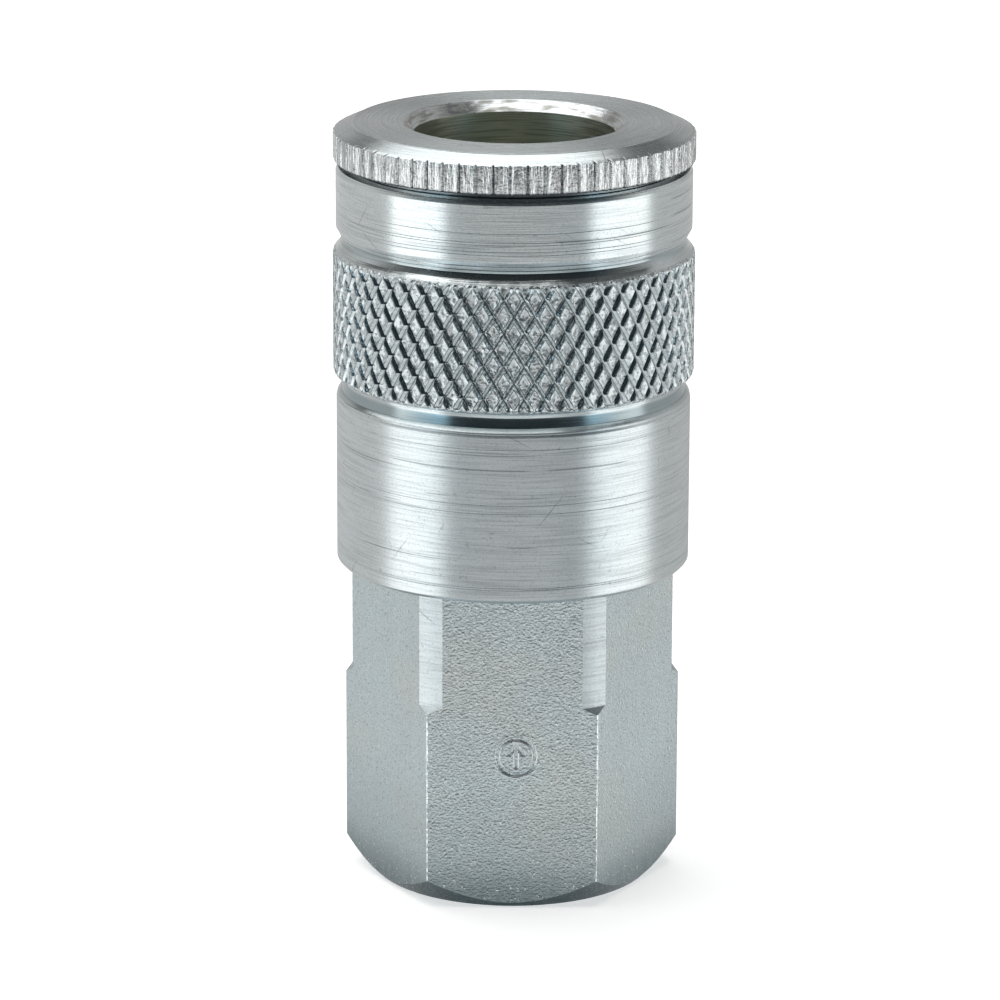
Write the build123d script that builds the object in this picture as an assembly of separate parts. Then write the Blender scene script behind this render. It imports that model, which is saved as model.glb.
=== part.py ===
"""Ball-locking quick disconnect coupler: the female half, with a shut-off valve and a pipe-thread port.

Millimetres. The origin is the centre of the port end face, and +Z runs along the axis to the plug mouth.
The hexagon's flats face +Y and -Y. The locking sleeve is modelled forwards, and the valve closed.
"""

import math
import os

from build123d import *

# ---------------------------------------------------------------- driving dimensions
LENGTH = 58.5                 # port face to nose face

# hexagonal adapter
HEX_ACROSS_FLATS = 22.225     # 7/8 in wrench size
HEX_TURN_R = 13.2             # turning radius that clears the hexagon's corners
HEX_END_R = 10.67             # port end face radius; the 45 degree end chamfer starts here
SHANK_R = 12.29               # the turned shank above the hexagon
SHOULDER_Z = 15.85            # top of the 45 degree shoulder under the shank
ADAPTER_TOP_Z = 30.0
ADAPTER_TOP_CHAMFER = 0.4

# pipe port and valve chamber in the adapter
PORT_R = 7.4                  # 3/8-18 NPT, wall before the thread is cut
PORT_MOUTH_R = 8.7
PORT_DEPTH = 13.6
PASSAGE_R = 6.8
GUIDE_SEAT_Z = 15.0           # the valve guide rests here
CHAMBER_R = 7.6
JOINT_THREAD_R = 9.6          # thread that joins barrel and adapter, at its pitch radius
SEAL_STEP_Z = 20.6            # the static O-ring lies on this step
BARREL_FOOT_Z = 22.0          # lower end of the barrel, which squeezes that O-ring

# socket barrel
TUBE_R = 10.3
SLEEVE_STOP_Z = 55.25         # underside of the nose, where the sleeve's top face stops
STOP_RIM_R = 12.4
FLANGE_R = 13.65              # over the straight knurl
FLANGE_BOTTOM_Z = 55.67
FLANGE_CHAMFER_Z = 57.8
NOSE_FACE_R = 12.19
MOUTH_R = 8.41
MOUTH_DEPTH = 0.8
BORE_R = 7.55                 # guides the plug
BORE_END_Z = 50.3
BALL_ZONE_R = 7.75
BALL_ZONE_END_Z = 44.4
BORE_STEP = 0.2
CONE_TOP_Z = 42.6             # the plug's nose cone lands on this cone
CONE_BOTTOM_Z = 40.35
TIP_R = 5.3
SEAL_POCKET_R = 7.05
SEAL_POCKET_TOP_Z = 38.1

# locking balls
BALL_COUNT = 6
BALL_R = 1.985                # 5/32 in balls
BALL_Z = 47.5
BALL_CENTRE_R = TUBE_R - BALL_R   # locked: flush with the barrel's outside
BALL_HOLE_R = 2.03
BALL_HOLE_LIP_R = 1.94        # the hole narrows inwards so that the ball can't fall into the bore
FIRST_BALL_ANGLE = 30.0

# locking sleeve
SLEEVE_BOTTOM_Z = 24.67
SLEEVE_R = 13.43
KNURL_R = 13.68
KNURL_BOTTOM_Z = 39.6
KNURL_TOP_Z = 48.6
LOWER_GROOVE = (37.65, 39.5)  # lower and upper edge
UPPER_GROOVE = (48.9, 50.6)
GROOVE_FLOOR_R = 12.75
SLEEVE_SKIRT_R = 12.4         # runs over the shank
SKIRT_TOP_Z = 35.5
SPRING_ROOM_R = 11.9
LAND_R = 10.42                # locking land, which also guides the sleeve on the barrel
LAND_BOTTOM_Z = 44.0
RAMP_BOTTOM_Z = 47.5          # the balls climb this ramp into the relief
RAMP_TOP_Z = 52.6
RELIEF_R = 11.75
EDGE = 0.25                   # broken edges of the sleeve

GAP = 0.02                    # between faces that touch across a joint

# washers and springs
SEAT_WASHER_T = 1.0
THRUST_WASHER_T = 0.68
WASHER_OUTER_R = 11.75
SLEEVE_WIRE_R = 0.6
SLEEVE_COIL_R = 11.05
SLEEVE_COILS = 5.5
VALVE_WIRE_R = 0.4
VALVE_COIL_R = 4.35
VALVE_COILS = 5.5

# valve
SEAT_LIP_Z = 28.6             # the valve's sealing lip
SEAT_LIP_R = 5.8
BUSH_FLANGE_TOP_Z = 30.0
BUSH_TOP_Z = 36.0
POPPET_HEAD_R = 6.6
POPPET_HEAD_Z = (26.3, 27.6)
POPPET_NOSE_R = 4.7
POPPET_NOSE_BORE_R = 3.6
POPPET_NOSE_TOP_Z = 34.0
POPPET_STEM_R = 2.0
POPPET_STEM_Z = 14.4
WINDOW_Z = (29.6, 32.6)
WINDOW_WIDTH = 3.6
SEAL_INNER_R = 4.72
SEAL_OUTER_R = 6.4
RETAINER_R = 5.15
RETAINER_T = 0.5
GUIDE_T = 1.5
GUIDE_HUB_R = 3.5
GUIDE_HUB_TOP_Z = 17.8
GUIDE_BORE_R = 2.05
GUIDE_HOLE_COUNT = 5
GUIDE_HOLE_R = 1.6
GUIDE_HOLE_PITCH_R = 5.6

# O-rings
NIPPLE_RING_R = 1.0
ADAPTER_RING_R = 0.68


def turned(profile):
    """A solid of revolution about Z from a closed outline of (radius, height) corners."""
    wire = Wire.make_polygon([(r, 0, z) for r, z in profile])
    return Solid.revolve(Face(wire), 360, Axis.Z)


def ring(inner, outer, bottom, top):
    """A plain ring about Z."""
    return turned([(inner, bottom), (outer, bottom), (outer, top), (inner, top)])


def round_groove(surface_r, floor_r, edges):
    """The cutter for a round-bottomed groove in a cylinder of surface_r."""
    half_width = (edges[1] - edges[0]) / 2
    depth = surface_r - floor_r
    radius = (half_width**2 + depth**2) / (2 * depth)
    return Pos(0, 0, sum(edges) / 2) * Torus(floor_r + radius, radius)


def coil_spring(coil_r, wire_r, bottom, top, turns):
    """A round-wire compression spring that fills the height between bottom and top."""
    rise = top - bottom - 2 * wire_r
    path = Helix(pitch=rise / turns, height=rise, radius=coil_r, center=(0, 0, bottom + wire_r))
    section = Plane(origin=path @ 0, z_dir=path % 0) * Circle(wire_r)
    return sweep(section, path, is_frenet=True)


def o_ring(outer_r, section_r, bottom):
    """An O-ring whose outside touches outer_r and whose lower side touches bottom."""
    return Pos(0, 0, bottom + section_r) * Torus(outer_r - section_r, section_r)


def hex_adapter():
    end_chamfer = HEX_TURN_R - HEX_END_R
    shoulder = HEX_TURN_R - SHANK_R
    blank = turned([
        (0, 0),
        (HEX_END_R, 0),
        (HEX_TURN_R, end_chamfer),
        (HEX_TURN_R, SHOULDER_Z - shoulder),
        (SHANK_R, SHOULDER_Z),
        (SHANK_R, ADAPTER_TOP_Z - ADAPTER_TOP_CHAMFER),
        (SHANK_R - ADAPTER_TOP_CHAMFER, ADAPTER_TOP_Z),
        (0, ADAPTER_TOP_Z),
    ])
    corner_r = HEX_ACROSS_FLATS / math.sqrt(3)
    bar = extrude(RegularPolygon(corner_r, 6), ADAPTER_TOP_Z)
    passage_cone = PORT_R - PASSAGE_R
    inside = turned([
        (0, 0),
        (PORT_MOUTH_R, 0),
        (PORT_R, PORT_MOUTH_R - PORT_R),
        (PORT_R, PORT_DEPTH),
        (PASSAGE_R, PORT_DEPTH + passage_cone),
        (PASSAGE_R, GUIDE_SEAT_Z),
        (CHAMBER_R, GUIDE_SEAT_Z),
        (CHAMBER_R, SEAL_STEP_Z),
        (JOINT_THREAD_R, SEAL_STEP_Z),
        (JOINT_THREAD_R, ADAPTER_TOP_Z - EDGE),
        (JOINT_THREAD_R + EDGE, ADAPTER_TOP_Z),
        (0, ADAPTER_TOP_Z),
    ])
    return blank & bar - inside


def ball_hole(angle):
    """The cutter for one radial ball hole, which narrows towards the bore."""
    lip = BALL_ZONE_R - 1
    profile = Wire.make_polygon([
        (lip, 0, BALL_Z),
        (lip, 0, BALL_Z + BALL_HOLE_LIP_R),
        (BALL_ZONE_R, 0, BALL_Z + BALL_HOLE_LIP_R),
        (BALL_CENTRE_R, 0, BALL_Z + BALL_HOLE_R),
        (TUBE_R + 1, 0, BALL_Z + BALL_HOLE_R),
        (TUBE_R + 1, 0, BALL_Z),
    ])
    axis = Axis((0, 0, BALL_Z), (1, 0, 0))
    return Rot(0, 0, angle) * Solid.revolve(Face(profile), 360, axis)


def ball_angles():
    return [FIRST_BALL_ANGLE + 360 * i / BALL_COUNT for i in range(BALL_COUNT)]


def socket_barrel():
    body = turned([
        (CHAMBER_R, BARREL_FOOT_Z),
        (JOINT_THREAD_R - EDGE, BARREL_FOOT_Z),
        (JOINT_THREAD_R, BARREL_FOOT_Z + EDGE),
        (JOINT_THREAD_R, ADAPTER_TOP_Z),
        (TUBE_R, ADAPTER_TOP_Z),
        (TUBE_R, SLEEVE_STOP_Z),
        (STOP_RIM_R, SLEEVE_STOP_Z),
        (STOP_RIM_R, FLANGE_BOTTOM_Z),
        (FLANGE_R, FLANGE_BOTTOM_Z),
        (FLANGE_R, FLANGE_CHAMFER_Z),
        (NOSE_FACE_R, LENGTH),
        (MOUTH_R, LENGTH),
        (BORE_R, LENGTH - MOUTH_DEPTH),
        (BORE_R, BORE_END_Z),
        (BALL_ZONE_R, BORE_END_Z - BORE_STEP),
        (BALL_ZONE_R, BALL_ZONE_END_Z + BORE_STEP),
        (BORE_R, BALL_ZONE_END_Z),
        (BORE_R, CONE_TOP_Z),
        (TIP_R, CONE_BOTTOM_Z),
        (TIP_R, SEAL_POCKET_TOP_Z),
        (SEAL_POCKET_R, SEAL_POCKET_TOP_Z),
        (SEAL_POCKET_R, BUSH_FLANGE_TOP_Z),
        (CHAMBER_R, BUSH_FLANGE_TOP_Z),
    ])
    for angle in ball_angles():
        body -= ball_hole(angle)
    return body


def locking_sleeve():
    top = SLEEVE_STOP_Z - GAP
    body = turned([
        (SLEEVE_SKIRT_R + EDGE, SLEEVE_BOTTOM_Z),
        (SLEEVE_R - EDGE, SLEEVE_BOTTOM_Z),
        (SLEEVE_R, SLEEVE_BOTTOM_Z + EDGE),
        (SLEEVE_R, KNURL_BOTTOM_Z - EDGE),
        (KNURL_R, KNURL_BOTTOM_Z),
        (KNURL_R, KNURL_TOP_Z),
        (SLEEVE_R, KNURL_TOP_Z + EDGE),
        (SLEEVE_R, top - EDGE),
        (SLEEVE_R - EDGE, top),
        (RELIEF_R, top),
        (RELIEF_R, RAMP_TOP_Z),
        (LAND_R, RAMP_BOTTOM_Z),
        (LAND_R, LAND_BOTTOM_Z),
        (SPRING_ROOM_R, LAND_BOTTOM_Z),
        (SPRING_ROOM_R, SKIRT_TOP_Z + SLEEVE_SKIRT_R - SPRING_ROOM_R),
        (SLEEVE_SKIRT_R, SKIRT_TOP_Z),
        (SLEEVE_SKIRT_R, SLEEVE_BOTTOM_Z + EDGE),
    ])
    for edges in (LOWER_GROOVE, UPPER_GROOVE):
        body -= round_groove(SLEEVE_R, GROOVE_FLOOR_R, edges)
    return body


def locking_ball(angle):
    at = Vector(BALL_CENTRE_R, 0, BALL_Z).rotate(Axis.Z, angle)
    return Pos(*at) * Sphere(BALL_R)


def valve_seat_bush():
    lip_rise = 0.3
    return turned([
        (TIP_R, SEAT_LIP_Z),
        (SEAT_LIP_R, SEAT_LIP_Z),
        (SEAT_LIP_R + lip_rise, SEAT_LIP_Z + lip_rise),
        (CHAMBER_R, SEAT_LIP_Z + lip_rise),
        (CHAMBER_R, BUSH_FLANGE_TOP_Z),
        (SEAL_POCKET_R, BUSH_FLANGE_TOP_Z),
        (SEAL_POCKET_R, BUSH_TOP_Z),
        (TIP_R, BUSH_TOP_Z),
    ])


def valve_poppet():
    head_bottom, head_top = POPPET_HEAD_Z
    bore_end = head_top + 0.8
    body = turned([
        (0, POPPET_STEM_Z),
        (POPPET_STEM_R - EDGE, POPPET_STEM_Z),
        (POPPET_STEM_R, POPPET_STEM_Z + EDGE),
        (POPPET_STEM_R, head_bottom),
        (POPPET_HEAD_R - EDGE, head_bottom),
        (POPPET_HEAD_R, head_bottom + EDGE),
        (POPPET_HEAD_R, head_top),
        (POPPET_NOSE_R, head_top),
        (POPPET_NOSE_R, POPPET_NOSE_TOP_Z - EDGE),
        (POPPET_NOSE_R - EDGE, POPPET_NOSE_TOP_Z),
        (POPPET_NOSE_BORE_R, POPPET_NOSE_TOP_Z),
        (POPPET_NOSE_BORE_R, bore_end),
        (0, bore_end - 0.5),
    ])
    height = WINDOW_Z[1] - WINDOW_Z[0]
    for angle in (0, 90):
        window = Box(3 * POPPET_NOSE_R, WINDOW_WIDTH, height)
        body -= Pos(0, 0, sum(WINDOW_Z) / 2) * Rot(0, 0, angle) * window
    return body


def valve_guide():
    body = turned([
        (GUIDE_BORE_R, GUIDE_SEAT_Z),
        (CHAMBER_R - GAP, GUIDE_SEAT_Z),
        (CHAMBER_R - GAP, GUIDE_SEAT_Z + GUIDE_T),
        (GUIDE_HUB_R, GUIDE_SEAT_Z + GUIDE_T),
        (GUIDE_HUB_R, GUIDE_HUB_TOP_Z - EDGE),
        (GUIDE_HUB_R - EDGE, GUIDE_HUB_TOP_Z),
        (GUIDE_BORE_R, GUIDE_HUB_TOP_Z),
    ])
    for place in PolarLocations(GUIDE_HOLE_PITCH_R, GUIDE_HOLE_COUNT):
        body -= Pos(0, 0, GUIDE_SEAT_Z) * place * Cylinder(GUIDE_HOLE_R, 4 * GUIDE_T)
    return body


def sub_parts():
    """Every sub-part in its place, by node name."""
    seat_washer_top = ADAPTER_TOP_Z + SEAT_WASHER_T
    thrust_washer_top = LAND_BOTTOM_Z - GAP
    thrust_washer_bottom = thrust_washer_top - THRUST_WASHER_T
    seal_top = SEAT_LIP_Z - GAP
    guide_top = GUIDE_SEAT_Z + GUIDE_T
    washer_inner_r = TUBE_R + 0.1
    parts = {
        "hex_adapter": hex_adapter(),
        "socket_barrel": socket_barrel(),
        "sleeve": locking_sleeve(),
        "sleeve_thrust_washer": ring(washer_inner_r, WASHER_OUTER_R, thrust_washer_bottom, thrust_washer_top),
        "spring_seat_washer": ring(washer_inner_r, WASHER_OUTER_R, ADAPTER_TOP_Z, seat_washer_top),
        "sleeve_spring": coil_spring(
            SLEEVE_COIL_R, SLEEVE_WIRE_R, seat_washer_top + GAP, thrust_washer_bottom - GAP, SLEEVE_COILS
        ),
        "nipple_o_ring": o_ring(SEAL_POCKET_R - GAP, NIPPLE_RING_R, BUSH_TOP_Z + GAP),
        "valve_seat_bush": valve_seat_bush(),
        "valve_poppet": valve_poppet(),
        "valve_seal": ring(SEAL_INNER_R, SEAL_OUTER_R, POPPET_HEAD_Z[1], seal_top),
        "valve_seal_retainer": ring(POPPET_NOSE_R, RETAINER_R, seal_top, seal_top + RETAINER_T),
        "valve_spring": coil_spring(
            VALVE_COIL_R, VALVE_WIRE_R, guide_top + GAP, POPPET_HEAD_Z[0] - GAP, VALVE_COILS
        ),
        "valve_guide": valve_guide(),
        "adapter_o_ring": o_ring(JOINT_THREAD_R - GAP, ADAPTER_RING_R, SEAL_STEP_Z + GAP),
    }
    for number, angle in enumerate(ball_angles(), start=1):
        parts[f"ball_{number}"] = locking_ball(angle)
    return parts


os.makedirs("parts", exist_ok=True)
for name, shape in sub_parts().items():
    export_step(shape, f"parts/{name}.step")
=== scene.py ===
"""Looks of the ball-locking quick disconnect coupler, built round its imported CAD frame.

Blender works in metres. Sizes here are in millimetres and are scaled when a mesh is made. An outline lists
the corners of a section about the coupler's axis, as (radius, height, fillet).
"""

import math

import bmesh
import bpy
import numpy as np
from mathutils import Matrix, Quaternion, Vector


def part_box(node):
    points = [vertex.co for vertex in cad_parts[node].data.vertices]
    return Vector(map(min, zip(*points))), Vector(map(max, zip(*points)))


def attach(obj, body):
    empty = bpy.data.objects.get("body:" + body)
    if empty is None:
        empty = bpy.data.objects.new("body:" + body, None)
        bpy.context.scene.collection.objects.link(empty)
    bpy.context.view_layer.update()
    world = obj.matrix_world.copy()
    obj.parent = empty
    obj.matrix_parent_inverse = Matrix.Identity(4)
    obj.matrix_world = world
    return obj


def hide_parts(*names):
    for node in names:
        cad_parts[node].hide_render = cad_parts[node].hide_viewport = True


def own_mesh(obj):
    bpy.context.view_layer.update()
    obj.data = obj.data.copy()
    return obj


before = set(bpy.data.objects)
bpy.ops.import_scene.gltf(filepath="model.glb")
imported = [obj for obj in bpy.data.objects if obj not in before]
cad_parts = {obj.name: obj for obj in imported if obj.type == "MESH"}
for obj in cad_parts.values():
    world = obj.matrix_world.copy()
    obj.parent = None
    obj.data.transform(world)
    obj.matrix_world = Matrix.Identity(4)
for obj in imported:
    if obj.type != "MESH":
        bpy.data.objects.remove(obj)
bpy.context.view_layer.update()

MM = 0.001
FULL_TURN = 2 * math.pi
SHARP_ANGLE = math.radians(23)  # an edge that turns more than this keeps its crease


# ---- sizes read from the frame


def box_mm(node):
    """(outer radius, bottom, top) of a node in millimetres."""
    low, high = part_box(node)
    return high[0] / MM, low[2] / MM, high[2] / MM


def ball_positions():
    """Centres of the six locking balls in millimetres."""
    boxes = [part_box(f"ball_{number}") for number in range(1, 7)]
    return [(Vector(low) + Vector(high)) / 2 / MM for low, high in boxes]


# ---- mesh building


def filleted(outline, columns=1, steps=5):
    """Rounds the corners of an outline: (radius, height, fillet) corners, each number or one per column.

    Returns an array of (rows, columns, 2). The outline is taken as closed.
    """
    corners = np.array([[np.broadcast_to(v, columns) for v in corner[:2]] for corner in outline], float)
    before = np.roll(corners, 1, axis=0) - corners
    after = np.roll(corners, -1, axis=0) - corners
    rows = []
    for index, corner in enumerate(outline):
        point = corners[index]
        fillet = corner[2] if len(corner) > 2 else 0
        if not fillet:
            rows.append(point)
            continue
        sides = before[index], after[index]
        lengths = [np.hypot(*side) for side in sides]
        ways = [side / length for side, length in zip(sides, lengths)]
        half = np.arccos(np.clip((ways[0] * ways[1]).sum(axis=0), -1, 1)) / 2
        reach = np.minimum(fillet / np.tan(half), 0.45 * np.minimum(*lengths))
        start, end = [point + way * reach for way in ways]
        for t in np.linspace(0, 1, steps + 1):
            rows.append((1 - t) ** 2 * start + 2 * t * (1 - t) * point + t**2 * end)
    return np.array(rows).transpose(0, 2, 1)


def even_angles(count):
    return FULL_TURN * np.arange(count) / count


def around(rows, angles):
    """Rings of 3-D points from (rows, columns or 1, 2) radii and heights at the columns' angles."""
    radii, heights = rows[..., 0], rows[..., 1]
    x, y = radii * np.cos(angles), radii * np.sin(angles)
    return list(np.stack([x, y, np.broadcast_to(heights, x.shape)], axis=-1))


def strip(first, second, start_a, start_b):
    """Faces between two rings; the longer ring has a whole number of points for each of the other's."""
    count = min(first, second)
    faces = []
    for i in range(count):
        a = [start_a + (i * first // count + k) % first for k in range(first // count + 1)]
        b = [start_b + (i * second // count + k) % second for k in range(second // count + 1)]
        faces.append(a + b[::-1])
    return faces


def diagonal_strip(count, start_a, start_b, rising):
    """Triangles between two equal rings, split along the rising diagonal where rising says so."""
    faces = []
    for i in range(count):
        j = (i + 1) % count
        a, b, c, d = start_a + i, start_a + j, start_b + j, start_b + i
        faces += [[a, b, c], [a, c, d]] if rising[i] else [[a, b, d], [b, c, d]]
    return faces


def ring_faces(rings, closed=True, diagonals=()):
    """Faces that join a stack of rings, and for each the index of the ring below it."""
    starts = np.concatenate([[0], np.cumsum([len(r) for r in rings])])
    last = len(rings) if closed else len(rings) - 1
    faces, owners = [], []
    for i in range(last):
        j = (i + 1) % len(rings)
        if i in diagonals:
            new = diagonal_strip(len(rings[i]), starts[i], starts[j], diagonals[i])
        else:
            new = strip(len(rings[i]), len(rings[j]), starts[i], starts[j])
        faces += new
        owners += [i] * len(new)
    return faces, np.array(owners)


def mesh_from(work, name):
    """Turns a bmesh into a mesh."""
    mesh = bpy.data.meshes.new(name)
    work.to_mesh(mesh)
    work.free()
    return mesh


def new_mesh(name, rings, faces, weld=False):
    """A mesh with outward faces from rings of points in millimetres."""
    mesh = bpy.data.meshes.new(name)
    mesh.from_pydata([tuple(p) for p in np.concatenate(rings) * MM], [], faces)
    work = bmesh.new()
    work.from_mesh(mesh)
    if weld:
        bmesh.ops.remove_doubles(work, verts=work.verts, dist=MM * 1e-3)
        bmesh.ops.dissolve_degenerate(work, edges=work.edges, dist=MM * 1e-4)
    if work.calc_volume(signed=True) < 0:
        bmesh.ops.reverse_faces(work, faces=work.faces)
    work.to_mesh(mesh)
    work.free()
    return mesh


def rows_at(radii, heights):
    """(rows, columns, 2) radii and heights, from the radii in every column of every row."""
    return np.stack([radii, np.broadcast_to(heights[:, None], radii.shape)], axis=-1)


def turned_mesh(name, outline, columns, closed=True):
    """A solid of revolution. An outline that isn't closed starts and ends on the axis."""
    rings = around(filleted(outline), even_angles(columns))
    faces, _ = ring_faces(rings, closed)
    return new_mesh(name, rings, faces, weld=not closed)


def add_object(data):
    piece = bpy.data.objects.new(data.name, data)
    bpy.context.scene.collection.objects.link(piece)
    return piece


def cut(piece, cutters):
    """Cuts the cutter meshes out of a piece, for good."""
    merged = bmesh.new()
    for cutter in cutters:
        merged.from_mesh(cutter)
    tool = add_object(mesh_from(merged, "cutter"))
    modifier = piece.modifiers.new("cut", "BOOLEAN")
    modifier.object = tool
    modifier.operation = "DIFFERENCE"
    modifier.solver = "EXACT"
    bpy.context.view_layer.update()
    result = bpy.data.meshes.new_from_object(piece.evaluated_get(bpy.context.evaluated_depsgraph_get()))
    piece.modifiers.clear()
    piece.data = result
    bpy.data.objects.remove(tool)


def finish_piece(piece, materials, node, body):
    """Gives a piece its materials, smooth shading with weighted normals, hides its CAD node and puts it in
    its body.
    """
    mesh = piece.data
    mesh.materials.clear()
    for material in materials:
        mesh.materials.append(material)
    mesh.shade_smooth()
    mesh.set_sharp_from_angle(angle=SHARP_ANGLE)
    weighted = piece.modifiers.new("weighted_normals", "WEIGHTED_NORMAL")
    weighted.keep_sharp = True
    weighted.weight = 80
    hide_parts(node)
    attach(piece, body)


def smooth_noise(shape, cells, seed):
    """Value noise from -1 to 1 on a (rows, columns) grid that repeats round the columns."""
    rng = np.random.default_rng(seed)
    values = rng.uniform(-1, 1, (cells[0] + 2, cells[1]))
    v = np.linspace(0, cells[0], shape[0])
    u = np.linspace(0, cells[1], shape[1], endpoint=False)
    row, column = v.astype(int), u.astype(int)
    fv, fu = v - row, u - column
    fv, fu = fv * fv * (3 - 2 * fv), fu * fu * (3 - 2 * fu)
    right = (column + 1) % cells[1]
    low = values[row][:, column] * (1 - fu) + values[row][:, right] * fu
    high = values[row + 1][:, column] * (1 - fu) + values[row + 1][:, right] * fu
    return low * (1 - fv[:, None]) + high * fv[:, None]


def face_table(mesh):
    """Centres, distances from the axis, in millimetres, and normals of a mesh's faces."""
    centres = np.array([face.center for face in mesh.polygons]) / MM
    return centres, np.hypot(*centres[:, :2].T), np.array([face.normal for face in mesh.polygons])


def paint_faces(mesh, choice):
    """Gives each face the material whose number is chosen for it."""
    mesh.polygons.foreach_set("material_index", choice.astype(np.int32))


# ---- node fields


class Fields:
    """Builds fields out of the nodes of one node tree."""

    def __init__(self, tree):
        self.tree = tree

    def node(self, kind, **settings):
        made = self.tree.nodes.new("ShaderNode" + kind)
        for key, value in settings.items():
            setattr(made, key, value)
        return made

    def put(self, value, socket):
        """Links a field to a socket, or sets the socket to a constant."""
        if isinstance(value, bpy.types.NodeSocket):
            self.tree.links.new(value, socket)
        else:
            socket.default_value = value

    def fill(self, node, **inputs):
        for key, value in inputs.items():
            self.put(value, node.inputs[key.replace("_", " ")])

    def feed(self, node, *values):
        """Puts values into a node's sockets in turn. Its first output comes back."""
        for value, socket in zip(values, node.inputs):
            self.put(value, socket)
        return node.outputs[0]

    def math(self, operation, *values):
        return self.feed(self.node("Math", operation=operation), *values)

    def times(self, first, second):
        return self.math("MULTIPLY", first, second)

    def plus(self, first, second):
        return self.math("ADD", first, second)

    def between(self, factor, first, second):
        """A number that is the first where the factor is 0 and the second where it is 1."""
        return self.plus(self.times(factor, second), self.times(self.math("SUBTRACT", 1.0, factor), first))

    def ramp(self, value, low, high, to_low=0.0, to_high=1.0):
        """Takes low..high smoothly to to_low..to_high, clamped."""
        node = self.node("MapRange", interpolation_type="SMOOTHSTEP")
        self.fill(node, Value=value, From_Min=low, From_Max=high, To_Min=to_low, To_Max=to_high)
        return node.outputs["Result"]

    def mix(self, factor, first, second):
        """A colour between two."""
        node = self.node("Mix", data_type="RGBA")
        self.fill(node, Factor=factor, A=first, B=second)
        return node.outputs["Result"]

    def split(self, vector):
        node = self.node("SeparateXYZ")
        self.feed(node, vector)
        return tuple(node.outputs)

    def join(self, x, y, z):
        return self.feed(self.node("CombineXYZ"), x, y, z)

    def scaled(self, vector, factor):
        node = self.node("VectorMath", operation="SCALE")
        self.fill(node, Scale=factor)
        return self.feed(node, vector)


class Surface(Fields):
    """A Principled material whose fields are laid out in millimetres."""

    def __init__(self, name, **settings):
        self.material = bpy.data.materials.new(name)
        self.material.use_nodes = True
        super().__init__(self.material.node_tree)
        self.shader = self.tree.nodes["Principled BSDF"]
        self.set(**settings)
        self.place = self.scaled(self.node("TexCoord").outputs["Object"], 1 / MM)

    def set(self, **values):
        self.fill(self.shader, **values)

    def noise(self, scale, detail, vector=None, w=None, roughness=0.5):
        """Noise about 0.5, with scale in cycles a millimetre."""
        node = self.node("TexNoise", noise_dimensions="3D" if w is None else "4D")
        self.fill(node, Vector=self.place if vector is None else vector)
        self.fill(node, Scale=scale, Detail=detail, Roughness=roughness)
        if w is not None:
            self.fill(node, W=w)
        return node.outputs["Fac"]

    def stretched_noise(self, cycles, detail):
        """Noise with its own number of cycles a millimetre along each axis."""
        vector = self.feed(self.node("VectorMath", operation="MULTIPLY"), self.place, cycles)
        return self.noise(1.0, detail, vector)

    def cylindrical(self):
        """(radius, height, cosine, sine) about the axis."""
        x, y, z = self.split(self.place)
        radius = self.math("SQRT", self.plus(self.times(x, x), self.times(y, y)))
        radius = self.math("MAXIMUM", radius, 0.01)
        return radius, z, self.math("DIVIDE", x, radius), self.math("DIVIDE", y, radius)

    def turning(self, per_mm, sweep, detail):
        """Noise drawn out into lines round the axis: per_mm across them, sweep cells along a radian."""
        radius, z, cosine, sine = self.cylindrical()
        vector = self.join(self.times(radius, per_mm), self.times(z, per_mm), self.times(cosine, sweep))
        return self.noise(1.0, detail, vector, self.times(sine, sweep))

    def scratches(self, angle, density, threshold):
        """A few fine straight scratches at an angle to the horizontal on the outer wall, from 0 to 1."""
        x, y, z = self.split(self.place)
        across = self.times(self.math("ARCTAN2", y, x), WALL_R)
        c, s = math.cos(angle), math.sin(angle)
        along = self.plus(self.times(across, c), self.times(z, s))
        side = self.math("SUBTRACT", self.times(z, c), self.times(across, s))
        vector = self.join(self.times(along, 0.18 * density), self.times(side, 5.0 * density), 0.0)
        return self.ramp(self.noise(1.0, 0.0, vector), threshold, threshold + 0.05)

    def stained(self, colour, *layers):
        """Lays tints over a colour: (field, start, end, share, tint). Share is the cover at the end."""
        for field, start, end, share, tint in layers:
            colour = self.mix(self.ramp(field, start, end, 0.0, share), colour, tint)
        return colour

    def finished(self, colour, roughness, *bumps):
        """Sets colour, roughness and bumps (height field, millimetres), and hands over the material."""
        self.set(Base_Color=colour, Roughness=roughness)
        normal = None
        for height, distance in bumps:
            node = self.node("Bump")
            self.fill(node, Distance=distance * MM, Height=height)
            if normal is not None:
                self.fill(node, Normal=normal)
            normal = node.outputs["Normal"]
            self.set(Normal=normal)
        return self.material


def metal(name, anisotropic=0.0):
    """A metal. Anisotropic above 0 draws its highlights out across the lines of turning."""
    s = Surface(name, Metallic=1.0)
    if anisotropic:
        tangent = s.node("Tangent", direction_type="RADIAL", axis="Z").outputs[0]
        s.set(Anisotropic=anisotropic, Anisotropic_Rotation=0.25, Tangent=tangent)
    return s


def grey(value, blue=0.0):
    """A near-neutral colour; blue above 0 is cooler."""
    return (value * (1 - blue), value, value * (1 + 0.3 * blue), 1.0)


# ---- materials

WALL_R = 13.4  # just under the sleeve's plain bands; only its grooves are deeper


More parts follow.
